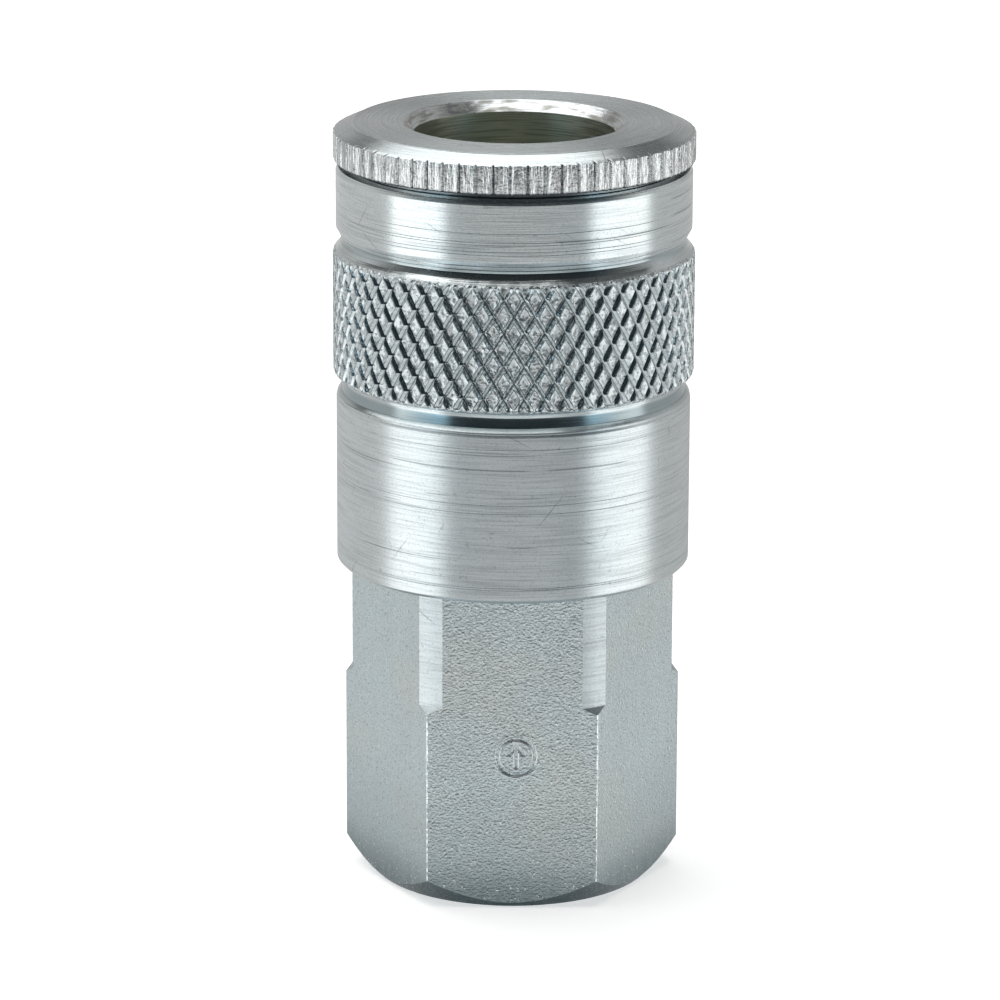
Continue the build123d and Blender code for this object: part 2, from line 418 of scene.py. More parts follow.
def turned_steel(name, tone, roughness, heights=(38, 50), line_depth=0.004, lines=1, grooved=False):
    """Zinc-plated steel with the fine lines of turning, faint scratches and a cloudy plating.

    The roughness goes from its first value at the lower of the two heights to its second at the upper. Where
    grooved, what lies deeper than WALL_R is smoother, and its colour is darker and bluer: painted shade in
    the grooves.
    """
    s = metal(name, 0.78)
    radius, height, _, _ = s.cylindrical()
    fine = s.turning(11, 3, 1)
    strong = s.ramp(s.turning(9, 0.6, 0), 0.7, 0.76)
    strong = s.times(strong, s.ramp(s.turning(1.6, 2.6, 1), 0.5, 0.6))
    grain = s.noise(6.5, 2, roughness=0.7)
    fleck = s.noise(1.6, 4, roughness=0.6)
    scratched = s.math("MAXIMUM", s.scratches(0.9, 1, 0.8), s.scratches(-0.5, 1.3, 0.81))
    colour = s.stained(
        s.mix(s.noise(0.22, 3), grey(tone * 0.97, 0.05), grey(tone * 1.04, 0.1)),
        (fine, 0.42, 0.7, 0.3 * lines, grey(tone * 0.5, 0.1)),
        (grain, 0.5, 0.7, 0.35, grey(tone * 0.5, 0.08)),
        (fleck, 0.64, 0.74, 0.45, grey(tone * 0.4, 0.08)),
    )
    colour = s.mix(s.times(strong, 0.6 * lines), colour, grey(tone * 0.25, 0.1))
    colour = s.mix(s.times(scratched, 0.4), colour, grey(tone * 0.45, 0.06))
    rough = s.plus(s.ramp(height, *heights, *roughness), s.ramp(fine, 0.35, 0.7, -0.02, 0.06))
    if grooved:
        # Painted shade: in the sleeve's grooves, below WALL_R, the colour is darkened and blued.
        deep = s.ramp(radius, WALL_R - 0.1, WALL_R - 0.45)
        share = s.math("MAXIMUM", s.ramp(height, 38.6, 38.9, 0.8, 0), s.ramp(height, 44, 45, 0, 0.45))
        colour = s.mix(s.times(deep, share), colour, grey(tone * 0.5, 0.2))
        rough = s.times(rough, s.ramp(radius, WALL_R - 0.15, WALL_R, 0.55, 1))
    rough = s.plus(rough, s.times(scratched, 0.15))
    bumps = ((fine, line_depth * 1.6), (strong, -line_depth * 0.6), (grain, line_depth * 0.5))
    return s.finished(colour, rough, *bumps)


def knurl_steel():
    """Knurled and plated steel: torn, pitted crests between clean rolled grooves, whose walls and floors
    carry painted shade.
    """
    s = metal("knurl_steel")
    level = s.node("Attribute", attribute_name="crest").outputs["Fac"]
    crest = s.ramp(level, 0.7, 1)
    torn = s.noise(3.1, 3, roughness=0.6)
    pits = s.noise(4.6, 1)
    colour = s.mix(s.noise(0.35, 2), grey(0.8, 0.05), grey(0.9, 0.09))
    # Painted shade on the groove walls, everywhere below the crests.
    colour = s.stained(colour, (level, 1, 0.8, 0.3, grey(0.4, 0.06)))
    colour = s.mix(s.times(s.ramp(torn, 0.49, 0.37, 0, 0.55), crest), colour, grey(0.2, 0.15))
    colour = s.mix(s.times(s.ramp(pits, 0.6, 0.68, 0, 0.7), crest), colour, grey(0.16, 0.15))
    # Painted shade deep in the grooves.
    colour = s.stained(colour, (level, 0.3, 0, 0.6, grey(0.2, 0.14)))
    rough = s.ramp(level, 0.9, 1, 0.16, 0.34)
    torn = s.times(torn, s.ramp(crest, 0, 1, 0.5, 1))
    return s.finished(colour, rough, (torn, 0.12), (s.times(pits, crest), 0.04))


def ring_steel():
    """The straight-knurled flange: upright tears from its wheel, with painted shade in the grooves and
    painted shadow beneath.
    """
    s = metal("ring_steel")
    radius, height, _, _ = s.cylindrical()
    upright = s.stretched_noise((4.2, 4.2, 0.5), 2)
    fine = s.stretched_noise((8, 8, 1.5), 1)
    skin = s.noise(4, 3, roughness=0.6)
    colour = s.stained(
        s.mix(skin, grey(0.8, 0.02), grey(0.9, 0.05)),
        (upright, 0.52, 0.63, 0.5, grey(0.26, 0.06)),
        (fine, 0.54, 0.66, 0.4, grey(0.24, 0.06)),
        # Painted shade in the grooves between the teeth.
        (radius, 13.5, 13.38, 0.85, grey(0.12, 0.06)),
        # Painted shadow under the flange, where it overhangs the sleeve.
        (height, 55.84, 55.74, 0.9, grey(0.05, 0.12)),
    )
    return s.finished(colour, s.ramp(skin, 0.3, 0.7, 0.18, 0.32), (upright, 0.1), (fine, 0.04), (skin, 0.06))


def edge_steel():
    """The hexagon's corners: worn bright and bruised all along."""
    s = metal("edge_steel")
    bruises = s.noise(3.4, 2)
    colour = s.mix(s.ramp(bruises, 0.44, 0.6), grey(0.96, 0.04), grey(0.4, 0.1))
    return s.finished(colour, s.ramp(bruises, 0.4, 0.6, 0.16, 0.4), (bruises, 0.08))


def hexagon_steel():
    """The as-drawn flats of the hexagon: matt, cloudy, with short marks and bright specks, and painted shade
    below.
    """
    s = metal("hexagon_steel")
    height = s.cylindrical()[1]
    cloud = s.noise(0.16, 3, roughness=0.6)
    grain = s.stretched_noise((8.5, 8.5, 11), 1)
    pits = s.stretched_noise((4.2, 4.2, 8), 1)
    specks = s.noise(5.2, 1)
    colour = s.stained(
        s.mix(cloud, grey(0.79, 0.09), grey(0.89, 0.15)),
        (s.noise(0.11, 2), 0.48, 0.66, 0.3, (0.84, 0.83, 0.76, 1)),
        # Painted shade and a painted dark reflection of the ground, darkening the steel towards the bottom.
        (height, 12, 0, 0.6, grey(0.42, 0.2)),
        (height, 4.5, 0, 0.85, grey(0.2, 0.26)),
        (s.stretched_noise((1.6, 1.6, 0.12), 3), 0.35, 0.7, 0.15, grey(0.68, 0.1)),
        (grain, 0.54, 0.36, 0.35, grey(0.44, 0.12)),
        (pits, 0.6, 0.68, 0.45, grey(0.26, 0.1)),
        (specks, 0.66, 0.74, 0.6, grey(1, 0.03)),
    )
    rough = s.ramp(specks, 0.6, 0.72, 0.37, 0.24)
    return s.finished(colour, rough, (grain, 0.008), (pits, -0.022), (specks, 0.04), (cloud, 0.04))


def bore_steel():
    """The plug bore: thin yellowish-green plating with circular tool marks and wear from plugs."""
    s = metal("bore_steel", 0.8)
    fine = s.turning(13, 2, 1)
    worn = s.turning(7, 3, 1)
    colour = s.stained(
        s.mix(s.noise(0.25, 2), (0.66, 0.65, 0.5, 1), (0.52, 0.6, 0.54, 1)),
        (fine, 0.44, 0.64, 0.5, (0.16, 0.19, 0.16, 1)),
        (worn, 0.58, 0.7, 0.3, grey(0.74, 0.02)),
    )
    return s.finished(colour, s.ramp(worn, 0.35, 0.7, 0.32, 0.4), (fine, 0.003))


def mouth_steel():
    """The countersunk mouth: turned and plated, and rubbed through in streaks where plugs strike it."""
    s = metal("mouth_steel", 0.6)
    fine = s.turning(9, 3, 1)
    rubbed = s.turning(2.4, 5, 4)
    colour = s.stained(
        grey(0.74, 0.04),
        (fine, 0.42, 0.66, 0.45, grey(0.3, 0.04)),
        (rubbed, 0.5, 0.66, 0.7, (0.28, 0.27, 0.22, 1)),
    )
    return s.finished(colour, s.ramp(rubbed, 0.46, 0.6, 0.24, 0.42), (fine, 0.004), (rubbed, 0.03))


def washer_steel():
    """Pressed and tumbled washers."""
    s = metal("washer_steel")
    marks = s.noise(2.2, 3)
    colour = s.mix(marks, grey(0.5, 0.03), grey(0.66, 0.06))
    colour = s.stained(colour, (s.turning(5, 6, 2), 0.45, 0.7, 0.3, grey(0.38)))
    return s.finished(colour, s.ramp(marks, 0.3, 0.7, 0.28, 0.46), (marks, 0.006))


def spring_steel():
    """Drawn spring wire: dark, smooth, with drawing marks and a little oil haze."""
    s = metal("spring_steel")
    marks = s.noise(3, 3)
    haze = s.noise(0.6, 2)
    colour = s.mix(haze, grey(0.4), (0.52, 0.5, 0.47, 1))
    colour = s.stained(colour, (marks, 0.5, 0.75, 0.4, grey(0.24)))
    return s.finished(colour, s.ramp(haze, 0.3, 0.7, 0.22, 0.38), (marks, 0.004))


def ball_steel():
    """Ground and polished bearing steel with faint contact marks."""
    s = metal("ball_steel")
    marks = s.noise(2.5, 3)
    colour = s.mix(s.ramp(marks, 0.5, 0.8), grey(0.72, 0.02), grey(0.55, 0.04))
    return s.finished(colour, s.ramp(marks, 0.45, 0.8, 0.06, 0.2), (marks, 0.001))


def brass():
    """Machined brass with turning lines and a slight tarnish."""
    s = metal("brass", 0.4)
    fine = s.turning(6, 4, 3)
    tarnish = s.noise(0.7, 3)
    colour = s.stained(
        (0.8, 0.58, 0.26, 1),
        (tarnish, 0.35, 0.7, 1, (0.62, 0.42, 0.18, 1)),
        (fine, 0.4, 0.75, 0.35, (0.45, 0.3, 0.12, 1)),
    )
    return s.finished(colour, s.ramp(tarnish, 0.3, 0.7, 0.2, 0.36), (fine, 0.002))


def nitrile_rubber():
    """Black nitrile with a moulded skin and a film of grease."""
    s = Surface("nitrile", Specular_IOR_Level=0.45)
    skin = s.noise(6, 3)
    colour = s.mix(skin, (0.01, 0.01, 0.011, 1), (0.028, 0.028, 0.03, 1))
    return s.finished(colour, s.ramp(s.noise(0.8, 2), 0.35, 0.65, 0.3, 0.62), (skin, 0.006))


# ---- sizes by which the pieces fit each other

PLUG_BORE_R = 7.55
TIP_BORE_R = 5.3  # for the plug's tip, in the barrel and in the bush
POCKET_R = 7.05  # of the plug's O-ring, above the bush
BUSH_R = 7.6
BUSH_STEP_Z = 30.0  # where the bush's flange meets the barrel's step
JOINT_R = 9.6  # barrel in adapter
BALL_HOLE_R = 2.03
LAND_R = 10.42  # of the sleeve, which holds the balls in
HEAD_BOTTOM_Z = 26.3  # of the poppet, whose head carries the seal round its nose
HEAD_TOP_Z = 27.6
NOSE_R = 4.7
STEM_R = 2.0
PASSAGE_R = 6.8  # below the valve

# ---- locking sleeve

DIAMONDS = 56  # round the sleeve, on each helix
DIAMOND_HEIGHT = 2.5
CELLS = 14  # grid cells across and up one diamond
KNURL_DEPTH = 0.25
KNURL_HALF_WIDTH = 3 / CELLS  # of a groove, as a share of the pitch
KNURL_RUN_OUT = 0.3  # height over which the grooves fade at each end
KNURL_SHOULDER = 0.5  # rounding at each end of the knurled band
KNURL_BAND = (39.7, 48.5)
GRIP_LOSS = 0.25  # the plain bands are this much smaller in radius
GROOVE_DEPTH = 0.62  # of the two turned grooves beside the knurl
UPPER_GROOVE = (  # outwards from its floor, up from the knurl, fillet
    (0.38, 0.34, 0.05), (0.12, 0.8, 0.08), (0.22, 0.98, 0.01), (0.19, 1.02, 0.01), (0.28, 1.1, 0.02),
    (0.4, 1.32, 0.01), (0.37, 1.36, 0.01), (0.46, 1.44, 0.02),
)
LOWER_LIP = ((0, 0, 0.01), (0.1, 0.18, 0.01), (0.05, 0.24, 0.02), (0.08, 0.34, 0.05))
BAND_TOP_Z = 37.42  # of the long lower band, below the lip
SKIRT_R = 12.4  # inside the lower band, over the adapter's shank
SPRING_ROOM_R = 11.9
RELIEF_R = 11.75  # inside the upper band, where the balls go when the sleeve is back
UPPER_SCORES = (4.05, 3.80, 3.30, 3.12, 2.45)  # below the sleeve's top
LOWER_SCORES = (1.10, 1.25, 6.95, 7.60, 11.85)  # above its bottom


def distance_from_whole(phase):
    return np.abs(phase - np.round(phase))


def knurl_heights():
    """Row heights of the knurled band, spaced so that the grooves run along the grid's diagonals."""
    bottom, top = KNURL_BAND
    step = DIAMOND_HEIGHT / CELLS
    count = round((top - bottom) / 2 / step) + 2
    return (bottom + top) / 2 + step * np.arange(-count, count + 1)


def knurl_radii(heights, radius):
    """Radius, crest (1 on the diamonds, 0 in the grooves) and which diagonal each cell splits along."""
    bottom, top = KNURL_BAND
    across = np.arange(DIAMONDS * CELLS) / CELLS
    up = ((heights - (bottom + top) / 2) / DIAMOND_HEIGHT)[:, None]
    grooves = [distance_from_whole(across + slope * up) for slope in (1, -1)]
    nearest = np.minimum(*grooves)
    inside_end = np.minimum(top - heights, heights - bottom)
    fade = np.clip((inside_end + KNURL_RUN_OUT) / KNURL_RUN_OUT, 0, 1)[:, None]
    groove = np.clip(1 - nearest / KNURL_HALF_WIDTH, 0, 1)
    beyond = np.clip(-inside_end, 0, KNURL_SHOULDER * 0.97)
    envelope = radius - (KNURL_SHOULDER - np.sqrt(KNURL_SHOULDER**2 - beyond**2))[:, None]
    shape = nearest.shape
    dish = np.clip((nearest - KNURL_HALF_WIDTH) / 0.12, 0, 1)
    rough = 0.6 * smooth_noise(shape, (30, DIAMONDS * 5), 11)
    rough += 0.4 * smooth_noise(shape, (52, DIAMONDS * 9), 12)
    sunk = np.clip(0.01 + dish * (0.055 + 0.085 * rough), 0, None) * fade
    return envelope - KNURL_DEPTH * groove * fade - sunk, 1 - groove * fade, grooves[1] < grooves[0]


def tool_marks(radius, heights):
    """Points of fine V scores that the turning tool left round a plain band, from the bottom up."""
    score = ((0, -0.035), (0.018, 0), (0, 0.035))
    return [(radius - depth, height + rise) for height in heights for depth, rise in score]


def sleeve_outline(radius, bottom, top, below_band, above_band):
    """The section from just above the knurled band, over the top and the inside, to just below the band."""
    floor = radius - GROOVE_DEPTH
    return [
        *[(floor + out, above_band + up, fillet) for out, up, fillet in UPPER_GROOVE],
        (radius, top - 4.6, 0.06),
        *tool_marks(radius, top - np.array(UPPER_SCORES)),
        (radius, top - 0.36, 0.04), (radius - 0.16, top, 0.05), (RELIEF_R, top, 0.12),
        (RELIEF_R, 52.6, 0.3), (LAND_R, 47.5, 0.4), (LAND_R, 44.0, 0.15),
        (SPRING_ROOM_R, 44.0, 0.2), (SPRING_ROOM_R, 36.0, 0.1), (SKIRT_R, 35.5, 0.1),
        (SKIRT_R, bottom + 0.25, 0.05), (SKIRT_R + 0.25, bottom, 0.05),
        (radius - 0.28, bottom, 0.06), (radius, bottom + 0.28, 0.1),
        *tool_marks(radius, bottom + np.array(LOWER_SCORES)),
        *[(radius - inwards, BAND_TOP_Z + up, fillet) for inwards, up, fillet in LOWER_LIP],
        (floor + 0.20, BAND_TOP_Z + 0.63, 0.08), (floor, BAND_TOP_Z + 1.38, 0.12),
        (floor + 0.12, below_band - 0.18, 0.1),
    ]


def make_sleeve():
    radius_over_knurl, bottom, top = box_mm("sleeve")
    heights = knurl_heights()
    radii, crest, rising = knurl_radii(heights, radius_over_knurl)
    band = around(rows_at(radii, heights), even_angles(DIAMONDS * CELLS))
    outline = sleeve_outline(radius_over_knurl - GRIP_LOSS, bottom, top, heights[0], heights[-1])
    ends = [(radii[-1].max(), heights[-1])], [(radii[0].max(), heights[0])]
    plain = filleted(ends[0] + outline + ends[1])[1:-1]
    rings = around(plain, even_angles(DIAMONDS * CELLS // 4)) + band
    first = len(rings) - len(band)
    faces, owners = ring_faces(rings, diagonals={first + i: rising[i] for i in range(len(band) - 1)})
    sleeve = add_object(new_mesh("sleeve_shell", rings, faces))
    values = np.ones(sum(len(r) for r in rings), np.float32)
    values[-crest.size:] = crest.ravel()
    sleeve.data.attributes.new("crest", "FLOAT", "POINT").data.foreach_set("value", values)
    finish_piece(sleeve, [SLEEVE_STEEL, KNURL_STEEL], "sleeve", "sleeve")
    paint_faces(sleeve.data, (owners >= first) & (owners < len(rings) - 1))


# ---- socket barrel

TEETH = 67
TOOTH_SHARES = (0, 0.04, 0.08, 0.12, 0.17, 0.33, 0.5, 0.67, 0.83, 0.88, 0.92, 0.96)
TOOTH_CUTS = (0.22, 0.17, 0.08, 0, 0.005, 0.065, 0.085, 0.065, 0.005, 0, 0.08, 0.17)
PLAIN_STEP = 3  # the plain rings keep every third column
SCALLOP = 0.13  # how much higher the flange's lower edge is between two grooves
NOSE_FACE_R = 12.19
FLANGE_CHAMFER_Z = 57.8
MOUTH_R = 8.41
MOUTH_DEPTH = 0.8
STOP_RIM = (12.4, 55.25, 55.67)  # radius, bottom and top of the step that stops the sleeve
TUBE_R = 10.3
BALL_ZONE_R = 7.75
BORE_END_Z = 42.6
POCKET_TOP_Z = 38.1
BARREL_END_Z = 22.0


def barrel_outline(top):
    """The barrel's section from the nose face, down the bore and up the outside to the stop rim."""
    rim_r, rim_bottom, rim_top = STOP_RIM
    return [
        (NOSE_FACE_R, top, 0.06), (MOUTH_R, top, 0.07), (PLUG_BORE_R, top - MOUTH_DEPTH, 0.12),
        (PLUG_BORE_R, 50.3, 0.05), (BALL_ZONE_R, 50.1, 0.05), (BALL_ZONE_R, 44.6, 0.05),
        (PLUG_BORE_R, 44.4, 0.05), (PLUG_BORE_R, BORE_END_Z, 0.1),
        (TIP_BORE_R, BORE_END_Z - PLUG_BORE_R + TIP_BORE_R, 0.1), (TIP_BORE_R, POCKET_TOP_Z, 0.08),
        (POCKET_R, POCKET_TOP_Z, 0.1), (POCKET_R, BUSH_STEP_Z, 0.05), (BUSH_R, BUSH_STEP_Z, 0.05),
        (BUSH_R, BARREL_END_Z, 0.05), (JOINT_R - 0.25, BARREL_END_Z, 0.05),
        (JOINT_R, BARREL_END_Z + 0.25, 0.05), (JOINT_R, BUSH_STEP_Z, 0.05),
        (TUBE_R, BUSH_STEP_Z, 0.05), (TUBE_R, rim_bottom, 0.1), (rim_r, rim_bottom, 0.06),
        (rim_r, rim_top, 0.06),
    ]


def tooth_radii(flange):
    """Radius over the straight knurl in every column: narrow grooves between rough, hollow lands."""
    rng = np.random.default_rng(5)
    cuts = np.tile(TOOTH_CUTS, TEETH) * np.repeat(rng.uniform(0.85, 1.08, TEETH), len(TOOTH_SHARES))
    rough = smooth_noise((2, cuts.size), (1, TEETH * 6), 21)[0] * 0.03
    return np.minimum(flange, flange - 0.02 - cuts + rough)


def flange_rings(flange, top, angles):
    """The knurled flange, from its lower edge to part of the way up its chamfer."""
    rim = tooth_radii(flange)
    slope = (top - FLANGE_CHAMFER_Z) / (flange - NOSE_FACE_R)
    land = np.clip(1 - np.tile(TOOTH_CUTS, TEETH) / 0.2, 0, 1)
    inner = flange - 0.45
    rows = filleted([
        (STOP_RIM[0], STOP_RIM[2]), (rim - 0.12, STOP_RIM[2], 0.03),
        (rim, STOP_RIM[2] + 0.12 + SCALLOP * land, 0.03),
        (rim, FLANGE_CHAMFER_Z + (flange - rim) * slope, 0.04),
        (inner, FLANGE_CHAMFER_Z + (flange - inner) * slope, 0.001), (NOSE_FACE_R, top),
    ], columns=rim.size, steps=3)[1:-1]
    return around(rows, angles)


def ball_hole_cutter(centre):
    """A radial hole that narrows towards the bore."""
    along = math.hypot(centre.x, centre.y)
    inner, outer, lip = BALL_ZONE_R - 1, TUBE_R + 1, BALL_HOLE_R - 0.09
    outline = [
        (0, inner), (lip, inner), (lip, BALL_ZONE_R), (BALL_HOLE_R, along), (BALL_HOLE_R, outer), (0, outer),
    ]
    cutter = turned_mesh("ball_hole", outline, columns=48, closed=False)
    turn = Quaternion((0, 0, 1), math.atan2(centre.y, centre.x)) @ Quaternion((0, 1, 0), math.pi / 2)
    cutter.transform(Matrix.Translation((0, 0, centre.z * MM)) @ turn.to_matrix().to_4x4())
    return cutter


def make_barrel():
    flange, _, top = box_mm("socket_barrel")
    angles = (FULL_TURN / TEETH * (np.arange(TEETH)[:, None] + TOOTH_SHARES)).ravel()
    rings = around(filleted(barrel_outline(top)), angles[::PLAIN_STEP]) + flange_rings(flange, top, angles)
    faces, _ = ring_faces(rings)
    barrel = add_object(new_mesh("socket_barrel_nose", rings, faces))
    cut(barrel, [ball_hole_cutter(centre) for centre in ball_positions()])
    steels = [BARREL_STEEL, RING_STEEL, MOUTH_STEEL, BORE_STEEL]
    finish_piece(barrel, steels, "socket_barrel", "body")
    centres, radius, normals = face_table(barrel.data)
    height = centres[:, 2]
    inward = (centres[:, :2] * normals[:, :2]).sum(axis=1) < 0
    mouth_bottom = top - MOUTH_DEPTH
    on_ring = (radius > flange - 0.5) & (np.abs(normals[:, 2]) < 0.6)
    # The faces under the flange take the ring's steel, and with it the painted shadow beneath the flange.
    on_ring |= (radius > STOP_RIM[0] + 0.05) & (height < STOP_RIM[2] + 0.3)
    in_mouth = (radius < MOUTH_R - 0.03) & (height > mouth_bottom)
    in_bore = (radius < BALL_ZONE_R + 0.15) & (inward | (height < 50)) & (height < mouth_bottom)
    paint_faces(barrel.data, np.select([on_ring, in_mouth, in_bore], [1, 2, 3], 0))


# ---- hexagon adapter

APOTHEM = 11.1125  # half of 7/8 in across the flats
CORNER_FILLET = 0.24
SHANK_R = 12.29
SHOULDER_Z = 15.85
JOINT_BOTTOM_Z = 20.6  # of the bore for the barrel
GUIDE_SEAT_Z = 15.0
PORT_FACE_R = 10.67
MARK_CENTRE = (0.3, 12.05)  # on the front flat: across, up
MARK_REACH = 1.75
MARK_STEP = 0.075
MARK_RING_R = 1.42
MARK_STROKES = (((0, -0.8), (0, 0.75)), ((0, 0.8), (-0.55, 0.2)), ((0, 0.8), (0.55, 0.2)))
MARK_DEPTH = 0.1
THREAD_PITCH = 25.4 / 18
THREAD_DEPTH = 1.1
THREAD_STEP = THREAD_PITCH / 12
PORT_R = 7.4
PORT_MOUTH_R = 8.7
THREAD_END = 12.9


def mark_grid():
    count = round(MARK_REACH / MARK_STEP)
    return MARK_STEP * np.arange(-count, count + 1)


def adapter_angles():
    """Columns close together at the corners, at the edges of the turned strips and under the mark."""
    strip_edge = math.degrees(math.acos(APOTHEM / SHANK_R))
    from_flat = np.array([0, 6, 12, 18, 22, strip_edge, 27, 28.6, 29.6, 29.73, 29.87, 30])
    one_flat = np.unique(np.concatenate([-from_flat, from_flat]))[1:]
    flats = 30 + 60 * np.arange(6)
    degrees = (flats[:, None] + one_flat).ravel()
    mark = 270 + np.degrees(np.arctan((MARK_CENTRE[0] + mark_grid()) / APOTHEM))
    degrees = degrees[(degrees < mark[0] - 0.2) | (degrees > mark[-1] + 0.2)]
    return np.radians(np.sort(np.concatenate([degrees, mark]) % 360))


def hexagon_radii(angles):
    """Radius of the hexagon with rounded corners."""
    from_corner = (angles + FULL_TURN / 12) % (FULL_TURN / 6) - FULL_TURN / 12
    flat = APOTHEM / np.cos(FULL_TURN / 12 - np.abs(from_corner))
    corner = APOTHEM / math.cos(FULL_TURN / 12)
    centre = corner - CORNER_FILLET / math.sin(FULL_TURN / 6)
    reach = centre * np.sin(from_corner)
    arc = centre * np.cos(from_corner) + np.sqrt(np.clip(CORNER_FILLET**2 - reach**2, 0, None))
    tangent = math.atan2(CORNER_FILLET / 2, centre + CORNER_FILLET * math.cos(FULL_TURN / 12))
    return np.where(np.abs(from_corner) < tangent, arc, flat)


def stroke(x, y, start, end):
    """Distance from points to a straight stroke."""
    along, up = end[0] - start[0], end[1] - start[1]
    x, y = x - start[0], y - start[1]
    t = np.clip((x * along + y * up) / (along**2 + up**2), 0, 1)
    return np.hypot(x - t * along, y - t * up)


def mark_depths(x, y):
    """How deep the stamp presses: a ring round an arrow that points the way of the flow."""
    lines = [np.abs(np.hypot(x, y) - MARK_RING_R)]
    lines += [stroke(x, y, start, end) for start, end in MARK_STROKES]
    nearest = np.minimum.reduce(lines)
    pressed = np.clip((0.2 - nearest) / 0.14, 0, 1)
    heaped = np.clip(1 - np.abs(nearest - 0.25) / 0.1, 0, 1)
    return MARK_DEPTH * (pressed * pressed * (3 - 2 * pressed) - 0.16 * heaped)


def port_rows(angles):
    """The tapered pipe thread, from the mouth inwards: (rows, columns, 2)."""
    heights = np.arange(0.12, THREAD_END + THREAD_STEP, THREAD_STEP)
    up = heights[:, None]
    tooth = 1 - 2 * distance_from_whole(up / THREAD_PITCH - angles / FULL_TURN)
    tooth = np.clip((tooth - 0.1) / 0.8, 0, 1) * np.clip((THREAD_END - up) / 1.2, 0, 1)
    return rows_at(np.maximum(PORT_R + THREAD_DEPTH * tooth * (1 - up / 50), PORT_MOUTH_R - up), heights)


def hexagon_rows(hexagon, mark_bottom, mark_top, top):
    """Rows below the stamped ones, from the port face, and above them, over the shank into the bores."""
    upper = np.minimum(hexagon, SHANK_R)
    shoulder = SHOULDER_Z - np.maximum(hexagon - SHANK_R, 0.01)
    below = [
        (PORT_MOUTH_R, 0.0),
        (PORT_FACE_R, 0.0, 0.12),
        (hexagon, hexagon - PORT_FACE_R, 0.1),
        (hexagon, mark_bottom - MARK_STEP),
    ]
    above = [
        (hexagon, mark_top), (hexagon, mark_top + MARK_STEP), (hexagon, shoulder, 0.05),
        (upper, SHOULDER_Z + 0.001, 0.05), (upper, top - 0.4, 0.05), (upper - 0.4, top, 0.05),
        (JOINT_R + 0.25, top), (JOINT_R, top - 0.25), (JOINT_R, JOINT_BOTTOM_Z, 0.1),
        (BUSH_R, JOINT_BOTTOM_Z, 0.08), (BUSH_R, GUIDE_SEAT_Z, 0.1),
        (PASSAGE_R, GUIDE_SEAT_Z, 0.08), (PASSAGE_R, GUIDE_SEAT_Z - 0.8),
        (PORT_R, GUIDE_SEAT_Z - 1.4), (PORT_R, THREAD_END),
    ]
    return filleted(below, hexagon.size)[1:], filleted(above, hexagon.size)[1:-1]


def stamped_rows(hexagon, angles, heights):
    """Rows of the flats at the mark's heights, pressed in on the front one."""
    across = APOTHEM * np.tan(angles - math.radians(270)) - MARK_CENTRE[0]
    on_front = np.abs(angles - math.radians(270)) < math.radians(20)
    pressed = mark_depths(across, (heights - MARK_CENTRE[1])[:, None]) * on_front
    return rows_at(hexagon - pressed, heights)


def make_adapter():
    _, _, top = box_mm("hex_adapter")
    angles = adapter_angles()
    hexagon = hexagon_radii(angles)
    mark_z = MARK_CENTRE[1] + mark_grid()
    below, above = hexagon_rows(hexagon, mark_z[0], mark_z[-1], top)
    port = port_rows(angles)[::-1]
    mouth = port[-1:] * 0 + (PORT_MOUTH_R, 0)
    stamped = stamped_rows(hexagon, angles, mark_z)
    rings = around(np.concatenate([below, stamped, above, port, mouth]), angles)
    faces, _ = ring_faces(rings)
    adapter = add_object(new_mesh("hex_adapter_body", rings, faces))
    steels = [ADAPTER_STEEL, HEXAGON_STEEL, EDGE_STEEL]
    finish_piece(adapter, steels, "hex_adapter", "body")
    centres, radius, normals = face_table(adapter.data)
    flats = FULL_TURN / 12 + FULL_TURN / 6 * np.arange(6)
    ways = np.stack([np.cos(flats), np.sin(flats)])
    matt = ((normals[:, :2] @ ways > 0.93) & (centres[:, :2] @ ways > APOTHEM - 0.2)).any(axis=1)
    # The bottom chamfer takes the hexagon's steel too, and with it the painted shade near the bottom.
    matt |= (radius > PORT_FACE_R) & (normals[:, 2] < -0.3) & (normals[:, 2] > -0.95)
    on_edge = (radius > hexagon.max() - 0.1) & (np.abs(normals[:, 2]) < 0.3) & ~matt
    paint_faces(adapter.data, np.select([on_edge, matt], [2, 1], 0))


# ---- springs, balls, seals and valve

WIRE_SIDES = 20
WASHER_HOLE_R = 10.4
FLOW_HOLES = 5  # in the valve guide
FLOW_HOLE_R = 1.6
FLOW_CIRCLE_R = 5.6


def coil_points(radius, bottom, top, wire, turns, closed_turns=0.9, per_turn=72):
    """Centre line of a compression spring with a closed turn at each end."""
    t = np.linspace(0, turns, int(turns * per_turn) + 1)
    closed_pitch = wire * 1.02
    length = top - bottom - wire
    middle = np.clip((t - closed_turns) / (turns - 2 * closed_turns), 0, 1)
    height = bottom + wire / 2 + middle * (length - 2 * closed_turns * closed_pitch)
    height += np.minimum(t, closed_turns) * closed_pitch
    height += np.clip(t - (turns - closed_turns), 0, None) * closed_pitch
    angle = FULL_TURN * t
    return np.stack([radius * np.cos(angle), radius * np.sin(angle), height], axis=-1)


